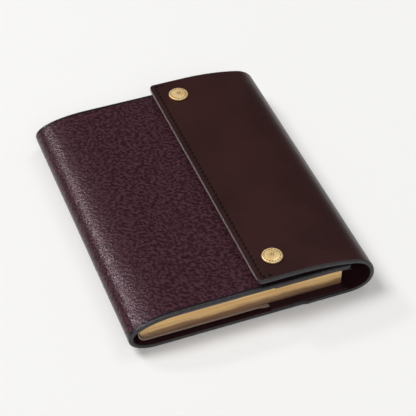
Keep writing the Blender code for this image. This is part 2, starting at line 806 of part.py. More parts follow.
def stud_profile():
    """Stud on the front cover: wide flange, neck and round head, hollow for the post."""
    neck_top = STUD_TOP - STUD_HEAD_HEIGHT
    hollow = STUD_NECK_RADIUS - STUD_WALL
    return [
        (0.0, STUD_TOP),
        (STUD_HEAD_RADIUS - 2 * BRASS_ROUND, STUD_TOP),
        (STUD_HEAD_RADIUS, STUD_TOP - BRASS_ROUND),
        (STUD_HEAD_RADIUS, STUD_TOP - STUD_HEAD_HEIGHT / 2),
        (STUD_NECK_RADIUS, neck_top),
        (STUD_NECK_RADIUS, STUD_FLANGE_TOP),
        (STUD_FLANGE_RADIUS - BRASS_ROUND, STUD_FLANGE_TOP),
        (STUD_FLANGE_RADIUS, STUD_FLANGE_TOP - BRASS_ROUND),
        (STUD_FLANGE_RADIUS, STUD_BOTTOM),
        (STUD_BORE, STUD_BOTTOM),
        (STUD_BORE, STUD_FLANGE_TOP),
        (hollow, STUD_FLANGE_TOP),
        (hollow, neck_top),
        (0.0, neck_top),
    ]


def post_profile():
    """Post with a flat plate between leather and lining, flared inside the hollow of the stud."""
    plate_top = FRONT_TOP - LEATHER - CLEARANCE
    flare_low = STUD_FLANGE_TOP + CLEARANCE / 2
    flare_top = flare_low + POST_FLARE
    return [
        (0.0, flare_top),
        (POST_FLARE_RADIUS, flare_top),
        (POST_FLARE_RADIUS, flare_low),
        (POST_RADIUS, flare_low),
        (POST_RADIUS, plate_top),
        (POST_PLATE_RADIUS, plate_top),
        (POST_PLATE_RADIUS, plate_top - POST_PLATE),
        (0.0, plate_top - POST_PLATE),
    ]


def spring_ring(name, centre, pivot):
    """Open wire ring that sits in the socket's groove, round the neck of the stud."""
    curve = bpy.data.curves.new(name, "CURVE")
    curve.dimensions = "3D"
    curve.bevel_depth = SPRING_WIRE
    curve.bevel_resolution = 1
    curve.use_fill_caps = True
    spline = curve.splines.new("POLY")
    count = 21
    spline.points.add(count - 1)
    for i, point in enumerate(spline.points):
        turn = math.radians(SPRING_GAP / 2 + (360.0 - SPRING_GAP) * i / (count - 1))
        x = centre[0] + SPRING_RADIUS * math.cos(turn)
        y = centre[1] + SPRING_RADIUS * math.sin(turn)
        point.co = (x, y, SPRING_HEIGHT, 1.0)
    mesh = mesh_of(add(bpy.data.objects.new(name + "_wire", curve)))
    mesh.name = name
    obj = add(bpy.data.objects.new(name, mesh))
    return finish(obj, pivot, STEEL, 0.35, 1.0)


def build_snaps(pivots):
    for end, side in (("near", -1), ("far", 1)):
        centre = Vector((SNAP_X, side * SNAP_Y, 0.0))
        obj = turned(f"snap_cap_{end}", cap_profile(), centre, 32)
        finish(obj, pivots["flap"], BRASS, 0.3, 1.0)
        obj = turned(f"snap_socket_{end}", socket_profile(), centre, 24)
        finish(obj, pivots["flap"], BRASS, 0.4, 1.0)
        spring_ring(f"snap_spring_{end}", centre, pivots["flap"])
        obj = turned(f"snap_stud_{end}", stud_profile(), centre, 24)
        finish(obj, pivots["front"], BRASS, 0.35, 1.0)
        obj = turned(f"snap_post_{end}", post_profile(), centre, 24)
        finish(obj, pivots["front"], BRASS, 0.4, 1.0)


def main():
    clear_scene()
    cover, marks = cover_section()
    pivots, hinges = build_pivots(cover, marks)
    build_front(cover, marks, pivots["front"])
    build_spine(cover, marks, pivots["spine"])
    build_back(cover, marks, pivots["back"], hinges)
    build_fold(cover, pivots, hinges)
    build_flap(cover, pivots["flap"], hinges[-1])
    build_back_pocket(pivots["back"])
    build_front_pocket(cover, pivots["front"])
    build_insert(cover, pivots)
    build_snaps(pivots)
    bpy.context.view_layer.update()


main()
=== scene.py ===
"""Looks for the leather journal: leather wall, stitching, gilt page sections, pockets and press studs.

X runs from the spine to the fold of the flap, Y along the spine, Z up. Lengths are in metres; the surface
coordinates on which leather, paper and thread are drawn are in millimetres.
"""

import math
from collections import defaultdict, namedtuple

import bmesh
import bpy
import numpy as np
from mathutils import Matrix, Vector, noise


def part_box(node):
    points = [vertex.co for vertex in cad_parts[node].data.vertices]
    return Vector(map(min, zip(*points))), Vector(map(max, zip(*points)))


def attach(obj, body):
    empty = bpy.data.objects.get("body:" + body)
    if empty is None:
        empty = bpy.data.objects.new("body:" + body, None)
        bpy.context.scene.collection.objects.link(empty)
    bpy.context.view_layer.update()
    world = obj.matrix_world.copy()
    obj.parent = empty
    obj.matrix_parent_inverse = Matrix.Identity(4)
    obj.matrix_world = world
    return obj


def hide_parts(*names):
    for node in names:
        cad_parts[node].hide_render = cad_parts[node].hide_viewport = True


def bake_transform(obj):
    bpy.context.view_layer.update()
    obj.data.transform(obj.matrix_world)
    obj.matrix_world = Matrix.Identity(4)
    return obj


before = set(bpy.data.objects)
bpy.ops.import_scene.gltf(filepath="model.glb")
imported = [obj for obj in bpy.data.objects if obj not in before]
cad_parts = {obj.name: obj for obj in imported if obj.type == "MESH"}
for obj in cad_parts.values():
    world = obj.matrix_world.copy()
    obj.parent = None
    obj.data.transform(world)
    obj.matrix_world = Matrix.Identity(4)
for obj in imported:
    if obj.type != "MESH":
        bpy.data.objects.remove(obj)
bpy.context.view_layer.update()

TO_MM = 1000.0
TINY = 1e-6

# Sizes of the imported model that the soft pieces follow
PLY = 0.0031
CLEARANCE = 0.0003
FRONT_TOP = 0.0275
FLAP_TOP = 0.0358
WIDTH = 0.1778
LEFT = -WIDTH / 2
RIGHT = WIDTH / 2
COVER_EDGE = 0.0724
COVER_LENGTH = 0.221
COVER_CORNER = 0.004
COVER_DROOP = 0.0014
COVER_DROOP_WIDTH = 0.020
SPINE_BEND = 0.041
BACK_BEND = 0.021
SPINE_WIDEST = 0.47
FOLD_WIDEST = 0.379
FOLD_START = 0.070
FOLD_BEND = RIGHT - FOLD_START
FOLD_TOP_BEND = 0.0154
FOLD_SEGMENTS = 4
SEAM_X = 0.036
FLAP_EDGE = 0.0028
FLAP_LENGTH = 0.2225
FLAP_CORNER = 0.0035
FLAP_RISE = 0.0049
FLAP_RISE_WIDTH = 0.0435
FLAP_SLOPE = 0.24
POCKET_WIDTH = 0.057
POCKET_INSET = 0.0004
POCKET_LENGTH = COVER_LENGTH - 2 * POCKET_INSET
POCKET_LEATHER = 0.001
INSERT_LENGTH = 0.210
FORE_EDGE = 0.067
SNAP_X = 0.020
SNAP_Y = 0.09225


def even(start, end, steps):
    """Evenly spaced numbers from start to end."""
    return [start + (end - start) * i / steps for i in range(steps + 1)]


def smooth_step(t):
    """A share from 0 to 1 that starts and ends softly."""
    t = min(max(t, 0.0), 1.0)
    return t * t * (3 - 2 * t)


# Section of the wrap

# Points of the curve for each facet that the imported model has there
FINE = 6


def bezier(start, handle_a, handle_b, end, steps):
    """Points of a cubic curve, without its start."""
    points = []
    for step in range(1, steps + 1):
        t = step / steps
        a, b, c, d = (1 - t) ** 3, 3 * t * (1 - t) ** 2, 3 * t * t * (1 - t), t**3
        x = a * start[0] + b * handle_a[0] + c * handle_b[0] + d * end[0]
        z = a * start[1] + b * handle_a[1] + c * handle_b[1] + d * end[1]
        points.append((x, z))
    return points


class Section:
    """A section curve that can be read at any length along it."""

    def __init__(self, points):
        self.points = np.array(points, float)
        steps = np.linalg.norm(np.diff(self.points, axis=0), axis=1)
        self.along = np.concatenate([[0.0], np.cumsum(steps)])
        self.length = self.along[-1]
        ways = np.diff(self.points, axis=0) / steps[:, None]
        inward = np.stack([-ways[:, 1], ways[:, 0]], axis=1)
        normals = np.zeros_like(self.points)
        normals[:-1] += inward
        normals[1:] += inward
        self.normals = normals / np.linalg.norm(normals, axis=1)[:, None]

    def place(self, s):
        x = np.interp(s, self.along, self.points[:, 0])
        z = np.interp(s, self.along, self.points[:, 1])
        return np.array([x, z])

    def inward(self, s):
        x = np.interp(s, self.along, self.normals[:, 0])
        z = np.interp(s, self.along, self.normals[:, 1])
        return np.array([x, z]) / math.hypot(x, z)

    def at(self, s, y, depth):
        """The point that lies at a depth below the outer face."""
        x, z = self.place(s)
        nx, nz = self.inward(s)
        return (x + nx * depth, y, z + nz * depth)


def wrap_section():
    """The wrap in one curve, front edge to flap edge, with the lengths at which it hinges.

    The numbers in each bend place its handles, as shares of the bend's width and height.
    """
    marks = {}
    points = [(COVER_EDGE, FRONT_TOP - COVER_DROOP)]

    def bend(handle_a, handle_b, end, facets):
        points.extend(bezier(points[-1], handle_a, handle_b, end, facets * FINE))

    def mark(name, facets_back=0):
        marks[name] = len(points) - 1 - facets_back * FINE

    bend(
        (COVER_EDGE - 0.35 * COVER_DROOP_WIDTH, FRONT_TOP - 0.3 * COVER_DROOP),
        (COVER_EDGE - 0.6 * COVER_DROOP_WIDTH, FRONT_TOP),
        (COVER_EDGE - COVER_DROOP_WIDTH, FRONT_TOP),
        4,
    )
    points.append((LEFT + SPINE_BEND, FRONT_TOP))

    widest = SPINE_WIDEST * FRONT_TOP
    bend(
        (LEFT + 0.44 * SPINE_BEND, FRONT_TOP),
        (LEFT, widest + 0.65 * (FRONT_TOP - widest)),
        (LEFT, widest),
        10,
    )
    mark("front", 7)
    bend((LEFT, 0.35 * widest), (LEFT + 0.43 * BACK_BEND, 0.0), (LEFT + BACK_BEND, 0.0), 8)
    mark("spine", 3)

    for name, x in (("seam", SEAM_X), ("fold_start", FOLD_START)):
        points.append((x, 0.0))
        mark(name)

    widest = FOLD_WIDEST * FLAP_TOP
    bend((FOLD_START + 0.58 * FOLD_BEND, 0.0), (RIGHT, 0.33 * widest), (RIGHT, widest), 8)
    top_x, top_z = RIGHT - FOLD_TOP_BEND, FLAP_TOP - FLAP_RISE
    run = 0.7 * FOLD_TOP_BEND
    bend(
        (RIGHT, widest + 0.45 * (top_z - widest)),
        (top_x + run, top_z - FLAP_SLOPE * run),
        (top_x, top_z),
        10,
    )
    mark("fold_end")

    run = 0.25 * FLAP_RISE_WIDTH
    rise_end = top_x - FLAP_RISE_WIDTH
    bend(
        (top_x - run, top_z + FLAP_SLOPE * run),
        (rise_end + 0.41 * FLAP_RISE_WIDTH, FLAP_TOP),
        (rise_end, FLAP_TOP),
        7,
    )
    points.append((FLAP_EDGE, FLAP_TOP))
    section = Section(points)
    return section, {name: section.along[i] for name, i in marks.items()}


WRAP, MARKS = wrap_section()


# Materials

# Added to the depth below the outer face, in the surface coordinates of painted edges
EDGE_MARK = 700.0
# Dark paint on the outer face at both ends of the cover: its width, and how softly it starts
RIM_WIDTH = 3.4
RIM_FADE = 0.7
RIM_START = COVER_LENGTH / 2 * TO_MM - RIM_WIDTH
RIM_PAINT = (0.012, 0.011, 0.017)
# Painted shade on the lining's half of the edge round the spine
SHADE_PAINT = (0.008, 0.006, 0.008)
# How far in the flap's stitches run from its free edge
STITCH_INSET = 0.0036


class Nodes:
    """Short calls for building a material's node tree."""

    INPUTS = {
        "colour": "Base Color",
        "rough": "Roughness",
        "metallic": "Metallic",
        "specular": "Specular IOR Level",
        "tint": "Specular Tint",
        "glow": "Emission Color",
        "glow_strength": "Emission Strength",
        "normal": "Normal",
    }
    MIX_COLOURS = (6, 7)
    MIX_RESULT = 2

    def __init__(self, name):
        self.material = bpy.data.materials.new(name)
        self.material.use_nodes = True
        self.tree = self.material.node_tree
        self.shader = self.tree.nodes["Principled BSDF"]

    def fill(self, socket, value):
        """Links a socket to another node's output, or gives it a fixed value."""
        if isinstance(value, bpy.types.NodeSocket):
            self.tree.links.new(value, socket)
        elif socket.type == "RGBA":
            socket.default_value = (*value, 1.0)
        else:
            socket.default_value = value

    def node(self, kind, settings=None, **inputs):
        made = self.tree.nodes.new(kind)
        for key, value in (settings or {}).items():
            setattr(made, key, value)
        for key, value in inputs.items():
            self.fill(made.inputs[key], value)
        return made

    def place(self, stretch=(1.0, 1.0, 1.0), turn=0.0):
        """Surface coordinates in millimetres, from the UV map, turned and then stretched."""
        flat = self.node("ShaderNodeUVMap", {"uv_map": "surface"}).outputs["UV"]
        turned = self.node("ShaderNodeMapping", Vector=flat, Rotation=(0.0, 0.0, turn)).outputs["Vector"]
        return self.node("ShaderNodeMapping", Vector=turned, Scale=stretch).outputs["Vector"]

    def solid_place(self):
        return self.node("ShaderNodeTexCoord").outputs["Object"]

    def split(self, vector):
        return self.node("ShaderNodeSeparateXYZ", Vector=vector).outputs

    def noise(self, vector, scale, detail=3.0, roughness=0.55, distortion=0.0, output="Fac"):
        made = self.node("ShaderNodeTexNoise", Vector=vector, Scale=scale, Detail=detail)
        self.fill(made.inputs["Roughness"], roughness)
        self.fill(made.inputs["Distortion"], distortion)
        return made.outputs[output]

    def cells(self, feature, vector, scale, randomness):
        made = self.node("ShaderNodeTexVoronoi", {"feature": feature}, Vector=vector, Scale=scale)
        self.fill(made.inputs["Randomness"], randomness)
        return made.outputs["Distance"]

    def bands(self, direction, vector, scale, distortion):
        made = self.node("ShaderNodeTexWave", {"bands_direction": direction}, Vector=vector, Scale=scale)
        self.fill(made.inputs["Distortion"], distortion)
        return made.outputs["Fac"]

    def ramp(self, value, low, high, start=0.0, end=1.0):
        """Leads softly from start to end while the value goes from low to high."""
        made = self.node("ShaderNodeMapRange", {"interpolation_type": "SMOOTHSTEP"}, Value=value)
        for key, number in (("From Min", low), ("From Max", high), ("To Min", start), ("To Max", end)):
            made.inputs[key].default_value = number
        return made.outputs["Result"]

    def mix(self, share, dark, light):
        """A mix of two colours, each of them a fixed one or another node's output."""
        made = self.node("ShaderNodeMix", {"data_type": "RGBA"}, Factor=share)
        for index, colour in zip(self.MIX_COLOURS, (dark, light)):
            self.fill(made.inputs[index], colour)
        return made.outputs[self.MIX_RESULT]

    def tone(self, value, dark, light, low=0.3, high=0.7):
        """A colour that follows a texture over the middle of the texture's range."""
        return self.mix(self.ramp(value, low, high), dark, light)

    def math(self, operation, *values):
        made = self.node("ShaderNodeMath", {"operation": operation})
        for socket, value in zip(made.inputs, values):
            self.fill(socket, value)
        return made.outputs[0]

    def weigh(self, a, share_a, b, share_b):
        return self.math("ADD", self.math("MULTIPLY", a, share_a), self.math("MULTIPLY", b, share_b))

    def distance(self, value, centre):
        return self.math("ABSOLUTE", self.math("SUBTRACT", value, centre))

    def bump(self, height, depth, strength=1.0, before=None):
        """A relief of a depth in metres, on top of the relief before it."""
        made = self.node("ShaderNodeBump", Strength=strength, Distance=depth, Height=height)
        if before is not None:
            self.fill(made.inputs["Normal"], before)
        return made.outputs["Normal"]

    def finish(self, **inputs):
        """Fills the shader's inputs and hands back the material."""
        for key, value in inputs.items():
            self.fill(self.shader.inputs[self.INPUTS[key]], value)
        return self.material


def pebbled_leather():
    """Burgundy leather: pebbles of 1.5 to 2 mm on slightly broader ripples, dark paint on its rims."""
    m = Nodes("burgundy_pebbled_leather")
    warp = m.noise(m.place(), 0.035, 2.0, output="Color")
    grain_way = m.place((0.82, 1.10, 1.0), -0.65)
    flow = m.node("ShaderNodeVectorMath", {"operation": "MULTIPLY_ADD"})
    for socket, value in zip(flow.inputs, (warp, (10.0, 10.0, 0.0), grain_way)):
        m.fill(socket, value)
    ripple = m.ramp(m.noise(flow.outputs[0], 0.46, 0.6, 0.5, 0.35), 0.30, 0.70)
    pebble = m.ramp(m.cells("DISTANCE_TO_EDGE", flow.outputs[0], 0.62, 0.85), 0.0, 0.22)
    height = m.weigh(ripple, 0.72, pebble, 0.28)
    # Darker in the creases: partly the leather's own tone, partly painted shade of the pebbles
    hide = m.tone(height, (0.024, 0.0072, 0.0106), (0.074, 0.0298, 0.0395), 0.15, 0.95)
    from_middle = m.math("ABSOLUTE", m.split(m.place())["Y"])
    rim = m.ramp(from_middle, RIM_START, RIM_START + RIM_FADE)
    return m.finish(
        colour=m.mix(rim, hide, RIM_PAINT),
        rough=m.ramp(height, 0.2, 0.9, 0.29, 0.23),
        specular=0.30,
        tint=(1.0, 0.76, 0.85),
        normal=m.bump(height, 0.00012),
    )


def smooth_leather():
    """Brown flap leather: nearly smooth, with pores, soft changes of tone and painted shade along its
    stitching.
    """
    m = Nodes("brown_smooth_leather")
    flat = m.place()
    broad = m.noise(flat, 0.02)
    pit = m.ramp(m.cells("F1", flat, 2.2, 1.0), 0.05, 0.35)
    grain = m.noise(flat, 4.0, 5.0)
    ripple = m.noise(m.place((0.5, 1.0, 1.0)), 0.12, 2.0)
    relief = m.bump(ripple, 0.0006, 0.35)
    relief = m.bump(grain, 0.00004, 0.5, relief)
    relief = m.bump(pit, 0.00004, 0.5, relief)
    hide = m.tone(broad, (0.025, 0.0078, 0.0074), (0.036, 0.0112, 0.0105))
    # Painted shade in a band about 1.5 mm wide along the stitching line
    stitch_line = (WRAP.length - STITCH_INSET) * TO_MM
    clear = m.ramp(m.distance(m.split(flat)["X"], stitch_line), 0.25, 0.75)
    painted_groove_shade = m.mix(clear, (0.015, 0.0062, 0.0058), (0.0, 0.0, 0.0))
    return m.finish(
        colour=m.mix(clear, painted_groove_shade, hide),
        rough=m.ramp(grain, 0.35, 0.65, 0.29, 0.38),
        specular=0.34,
        tint=(1.0, 0.88, 0.84),
        normal=relief,
    )


def lining_leather():
    """Dark lining, matt and finely grained."""
    m = Nodes("dark_lining_leather")
    flat = m.place()
    grain = m.noise(flat, 2.5, 4.0)
    return m.finish(
        colour=m.tone(m.noise(flat, 0.05, 2.0), (0.028, 0.0080, 0.0108), (0.038, 0.0112, 0.0145)),
        rough=m.ramp(grain, 0.3, 0.7, 0.55, 0.75),
        specular=0.15,
        normal=m.bump(grain, 0.00008, 0.6),
    )


def edge_paint():
    """Dark painted edge of the wall: rubbed in places, painted shade round the spine, painted highlight on
    free edges.
    """
    m = Nodes("painted_leather_edge")
    flat = m.place()
    rub = m.noise(flat, 0.35, 4.0, 0.65)
    paint = m.tone(rub, (0.020, 0.0175, 0.021), (0.046, 0.040, 0.043), 0.35, 0.68)
    painted_highlight = m.tone(rub, (0.20, 0.155, 0.16), (0.32, 0.26, 0.265), 0.35, 0.68)
    along, across_edge = m.split(flat)["X"], m.split(flat)["Y"]

    # Painted shade on the half next to the lining, from before the front hinge to the spine hinge
    front, spine = MARKS["front"] * TO_MM, MARKS["spine"] * TO_MM
    inner = m.ramp(across_edge, EDGE_MARK + 1.0, EDGE_MARK + 1.9)
    entry = m.ramp(along, front - 22.0, front - 4.0)
    leaving = m.ramp(along, spine - 6.0, spine + 6.0, 1.0, 0.0)
    shade = m.math("MULTIPLY", inner, m.math("MULTIPLY", entry, leaving))

    # A painted highlight in a band on the free edges, whose middle lies 0.9 mm below the outer face
    band = m.ramp(m.distance(along, EDGE_MARK + 0.9), 0.35, 0.85, 1.0, 0.0)
    return m.finish(
        colour=m.mix(band, m.mix(shade, paint, SHADE_PAINT), painted_highlight),
        rough=m.ramp(rub, 0.3, 0.7, 0.34, 0.5),
        normal=m.bump(m.noise(flat, 3.0), 0.00006, 0.5),
    )


def thread(name, colour):
    """Matt thread with a slanting twist."""
    m = Nodes(name)
    twist = m.bands("DIAGONAL", m.place(), 1.6, 0.6)
    dark = tuple(0.55 * c for c in colour)
    return m.finish(
        colour=m.mix(twist, dark, colour),
        rough=0.8,
        specular=0.2,
        normal=m.bump(twist, 0.00008, 0.8),
    )


def gilt_edge():
    """Gilded cut edges of the leaves: thin gold, streaked along the leaves, with painted shade low in the
    block.
    """
    m = Nodes("gilt_page_edges")
    streaks = m.noise(m.place((0.035, 5.0, 1.0)), 1.0, 4.0, 0.6)
    broad = m.noise(m.place((0.012, 0.35, 1.0)), 1.0, 2.0)
    wear = m.weigh(streaks, 0.55, broad, 0.45)
    bright = m.tone(wear, (0.80, 0.47, 0.175), (1.0, 0.72, 0.36), 0.36, 0.64)
    shaded_gilt = m.tone(wear, (0.28, 0.145, 0.074), (0.60, 0.365, 0.21), 0.36, 0.64)
    # Painted shade: darker, redder gold towards the bottom of the block, below a wandering line
    wander = m.math("SUBTRACT", m.noise(m.place((0.03, 0.03, 1.0)), 1.0), 0.5)
    height = m.math("ADD", m.split(m.place())["Y"], m.math("MULTIPLY", wander, 9.0))
    return m.finish(
        colour=m.mix(m.ramp(height, 8.5, 12.5), shaded_gilt, bright),
        rough=m.ramp(streaks, 0.3, 0.7, 0.36, 0.55),
        metallic=0.75,
        normal=m.bump(streaks, 0.00012, 0.7),
    )


def fibrous(m, place, scale, detail, dark, light, depth, rough):
    """Paper, card or board, with fibres in its tone and its relief."""
    fibre = m.noise(place, scale, detail)
    return m.finish(colour=m.tone(fibre, dark, light), rough=rough, normal=m.bump(fibre, depth, 0.5))


def leaf_paper():
    m = Nodes("cream_leaf_paper")
    return fibrous(m, m.place(), 1.8, 5.0, (0.70, 0.62, 0.47), (0.78, 0.70, 0.55), 0.00003, 0.8)


def insert_card():
    m = Nodes("cream_insert_card")
    dark, light = (0.38, 0.275, 0.225), (0.50, 0.38, 0.32)
    return fibrous(m, m.solid_place(), 1500.0, 4.0, dark, light, 0.00003, 0.65)


def stiff_board():
    m = Nodes("grey_stiffener_board")
    dark, light = (0.22, 0.21, 0.19), (0.34, 0.33, 0.31)
    return fibrous(m, m.solid_place(), 900.0, 5.0, dark, light, 0.00005, 0.85)


def woven_cloth():
    m = Nodes("spine_mull_cloth")
    weave = m.bands("Y", m.solid_place(), 900.0, 0.4)
    return m.finish(
        colour=m.mix(weave, (0.42, 0.39, 0.33), (0.66, 0.63, 0.56)),
        rough=0.9,
        normal=m.bump(weave, 0.0001, 0.8),
    )


def metal(name, dark, light, smooth, rough, metallic):
    """Lacquered or drawn metal with fine scratches and rubbed patches."""
    m = Nodes(name)
    solid = m.solid_place()
    patches = m.noise(solid, 260.0)
    scratches = m.noise(solid, 2600.0, 4.0, 0.6, 0.3)
    return m.finish(
        colour=m.tone(patches, dark, light),
        rough=m.ramp(scratches, 0.3, 0.7, smooth, rough),
        metallic=metallic,
        normal=m.bump(scratches, 0.00002, 0.4),
    )


BURGUNDY = pebbled_leather()
BROWN = smooth_leather()
LINING = lining_leather()
EDGE = edge_paint()
BROWN_THREAD = thread("dark_brown_thread", (0.006, 0.004, 0.004))
BURGUNDY_THREAD = thread("burgundy_thread", (0.050, 0.014, 0.018))
GILT = gilt_edge()
PAPER = leaf_paper()
CARD = insert_card()
CLOTH = woven_cloth()
BOARD = stiff_board()
BRASS = metal("lacquered_brass", (0.86, 0.545, 0.215), (1.0, 0.76, 0.40), 0.27, 0.38, 0.38)
PATINA = metal("dark_brass_marks", (0.085, 0.042, 0.016), (0.18, 0.095, 0.040), 0.35, 0.50, 0.5)
STEEL = metal("spring_steel", (0.42, 0.42, 0.43), (0.60, 0.60, 0.60), 0.25, 0.40, 1.0)


# Meshes and pieces

def new_mesh():
    mesh = bmesh.new()
    mesh.loops.layers.uv.new("surface")
    return mesh


def add_face(mesh, corners, places, slot=0, smooth=True):
    """A face whose corners have the given surface coordinates."""
    layer = mesh.loops.layers.uv["surface"]
    made = mesh.faces.new(corners)
    made.material_index = slot
    made.smooth = smooth
    for loop, place in zip(made.loops, places):
        loop[layer].uv = place


def new_object(name, mesh, *materials):
    made = bpy.data.meshes.new(name)
    mesh.to_mesh(made)
    mesh.free()
    for material in materials:
        made.materials.append(material)
    obj = bpy.data.objects.new(name, made)
    bpy.context.scene.collection.objects.link(obj)
    return obj


def finish_piece(obj, bodies, nodes=(), ends=None):
    """Hides the imported nodes a piece replaces; a piece on one body goes under that body, one between two
    bodies has its place baked into its mesh.
    """
    if nodes:
        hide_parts(*nodes)
    if len(bodies) == 1:
        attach(obj, bodies[0])
    else:
        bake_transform(obj)


# Leather wall: rings of points round the two glued plies, one ring for each station along the wrap

Strip = namedtuple("Strip", "name start end bodies nodes")
RingPoint = namedtuple("RingPoint", "vert s y depth kind")

ACROSS = 60
EDGE_STEPS = 10
CORNER_STEPS = 8
LONGEST_STEP = 0.004
SHORTEST_STEP = 0.00005
END_ROUND = 0.0006
LINING_ROUND = 0.4
EDGE_FULLNESS = 0.8
END_CROWDING = 0.10
WAVE_DEPTH = 0.00008
# Waves to a metre, along the wrap and along the spine
WAVES = (22.0, 16.0)
# How far a strip that bends reaches past the outermost hinge
HINGE_REACH = 0.012
WALL_SLOTS = {"outer": 0, "edge": 1, "lining": 2}


def half_length(s):
    """Half the wall's length at a station, less at the rounded corners of its two free edges."""
    flap = s > MARKS["seam"]
    half = (FLAP_LENGTH if flap else COVER_LENGTH) / 2
    radius = FLAP_CORNER if flap else COVER_CORNER
    rest = (WRAP.length - s) if flap else s
    if rest < radius:
        half -= radius - math.sqrt(max(0.0, radius**2 - (radius - rest) ** 2))
    return half


def undulation(s, y):
    """Slow waves of a soft wall, less than a tenth of a millimetre deep; its free edges stay straight."""
    if not 0.0 < s < WRAP.length:
        return 0.0
    return WAVE_DEPTH * noise.noise(Vector((s * WAVES[0], y * WAVES[1], 3.0)))


def across(share):
    """Even steps, a little closer together towards both ends."""
    return share - END_CROWDING * math.sin(2 * math.pi * share) / (2 * math.pi)


def edge_round(s):
    """How far the painted edge is rounded in from the wall's end: least round the spine."""
    front, spine = MARKS["front"], MARKS["spine"]
    places = (0.0, front, 0.5 * (front + spine), spine, MARKS["fold_end"], WRAP.length)
    rounds = (0.0017, 0.0015, 0.0006, 0.0010, 0.0011, 0.0010)
    return float(np.interp(s, places, rounds))


def edge_turns():
    """(turn, depth) of the points between the outer face and the lining face."""
    turns = [math.pi * step / EDGE_STEPS for step in range(1, EDGE_STEPS)]
    return [(turn, PLY * (1 - math.cos(turn)) / 2) for turn in turns]


def ring_places(half, rounding):
    """(y, depth, kind) round the wall: outer face, far edge, lining face, near edge."""
    places = []
    for side in (1, -1):
        top = side > 0
        flat = half - (rounding if top else LINING_ROUND * rounding)
        for share in even(0.0, 1.0, ACROSS):
            y = side * (2 * across(share) - 1) * flat
            places.append((y, 0.0, "outer") if top else (y, PLY, "lining"))
        for turn, depth in edge_turns():
            reach = rounding if (turn < math.pi / 2) == top else LINING_ROUND * rounding
            y = side * (half - reach * (1 - math.sin(turn) ** EDGE_FULLNESS))
            places.append((y, depth if top else PLY - depth, "edge"))
    return places


def outer_place(s, y):
    """A point of the outer face, with the way that it faces."""
    nx, nz = WRAP.inward(s)
    return WRAP.at(s, y, undulation(s, y)), (-nx, 0.0, -nz)


def stations(start, end):
    """Stations of a strip, close together on the bends and at the rounded corners."""
    found = list(WRAP.along)
    for base, way, radius in ((0.0, 1, COVER_CORNER), (WRAP.length, -1, FLAP_CORNER)):
        for turn in even(0.0, math.pi / 2, CORNER_STEPS)[1:]:
            found.append(base + way * radius * (1 - math.cos(turn)))
    inside = [s for s in found if start < s < end]
    ordered = sorted({round(float(s), 7) for s in (start, *inside, end)})
    filled = [ordered[0]]
    for s in ordered[1:]:
        gap = s - filled[-1]
        count = max(1, math.ceil(gap / LONGEST_STEP))
        for i in range(1, count + 1):
            filled.append(filled[-1] + gap / count if i < count else s)
        while len(filled) > 1 and filled[-1] - filled[-2] < SHORTEST_STEP:
            filled.pop(-2)
    return filled


def wall_ring(mesh, s):
    ring = []
    for y, depth, kind in ring_places(half_length(s), edge_round(s)):
        vert = mesh.verts.new(WRAP.at(s, y, depth + undulation(s, y)))
        ring.append(RingPoint(vert, s, y, depth, kind))
    return ring


def join_rings(mesh, a, b):
    """Faces between two rings; on the edges the second surface coordinate tells the depth."""
    count = len(a)
    for j in range(count):
        k = (j + 1) % count
        corners = (a[j], b[j], b[k], a[k])
        kind = a[j].kind if a[j].kind == a[k].kind else "edge"
        if kind == "edge":
            places = [(c.s * TO_MM, EDGE_MARK + c.depth * TO_MM) for c in corners]
        else:
            places = [(c.s * TO_MM, c.y * TO_MM) for c in corners]
        add_face(mesh, [c.vert for c in corners], places, WALL_SLOTS[kind])


def close_free_edge(mesh, ring, s, way):
    """The rounded edge across a free end; its first surface coordinate tells the depth."""
    row = [point.vert for point in ring]
    top = row[: ACROSS + 1]
    low = row[ACROSS + EDGE_STEPS : 2 * ACROSS + EDGE_STEPS + 1][::-1]
    nx, nz = WRAP.inward(s)
    lines = [[(vert, 0.0) for vert in top]]
    for step, (turn, depth) in enumerate(edge_turns(), 1):
        out = way * END_ROUND * math.sin(turn)
        x, _, z = WRAP.at(s, 0.0, depth)
        between = [mesh.verts.new((x + nz * out, vert.co.y, z - nx * out)) for vert in top[1:-1]]
        lines.append([(vert, depth) for vert in (row[-step], *between, row[ACROSS + step])])
    lines.append([(vert, PLY) for vert in low])
    for a, b in zip(lines, lines[1:]):
        for i in range(ACROSS):
            corners = (a[i], a[i + 1], b[i + 1], b[i]) if way < 0 else (a[i], b[i], b[i + 1], a[i + 1])
            places = [(EDGE_MARK + depth * TO_MM, vert.co.y * TO_MM) for vert, depth in corners]
            add_face(mesh, [vert for vert, _ in corners], places, WALL_SLOTS["edge"])


def wall(strip):
    """A strip of the wall with painted edges; the free ends of the wrap are closed by the same edge."""
    mesh = new_mesh()
    rings = [wall_ring(mesh, s) for s in stations(strip.start, strip.end)]
    for a, b in zip(rings, rings[1:]):
        join_rings(mesh, a, b)
    if strip.start == 0.0:
        close_free_edge(mesh, rings[0], strip.start, -1)
    if strip.end == WRAP.length:
        close_free_edge(mesh, rings[-1], strip.end, 1)
    return new_object(strip.name, mesh, BURGUNDY if is_burgundy(strip) else BROWN, EDGE, LINING)


def is_burgundy(strip):
    return strip.end <= MARKS["seam"] + TINY


def blend_ends(strip):
    """Points near a strip's two cut ends, moved clear of them along the line between; none if it rides on
    one body.
    """
    if len(strip.bodies) == 1:
        return None
    a, b = WRAP.place(strip.start), WRAP.place(strip.end)
    way = (b - a) / np.linalg.norm(b - a)
    a = a + way * max(0.0, float(np.dot(WRAP.inward(strip.start) * PLY, way)))
    b = b + way * min(0.0, float(np.dot(WRAP.inward(strip.end) * PLY, way)))
    return (float(a[0]), 0.0, float(a[1])), (float(b[0]), 0.0, float(b[1]))


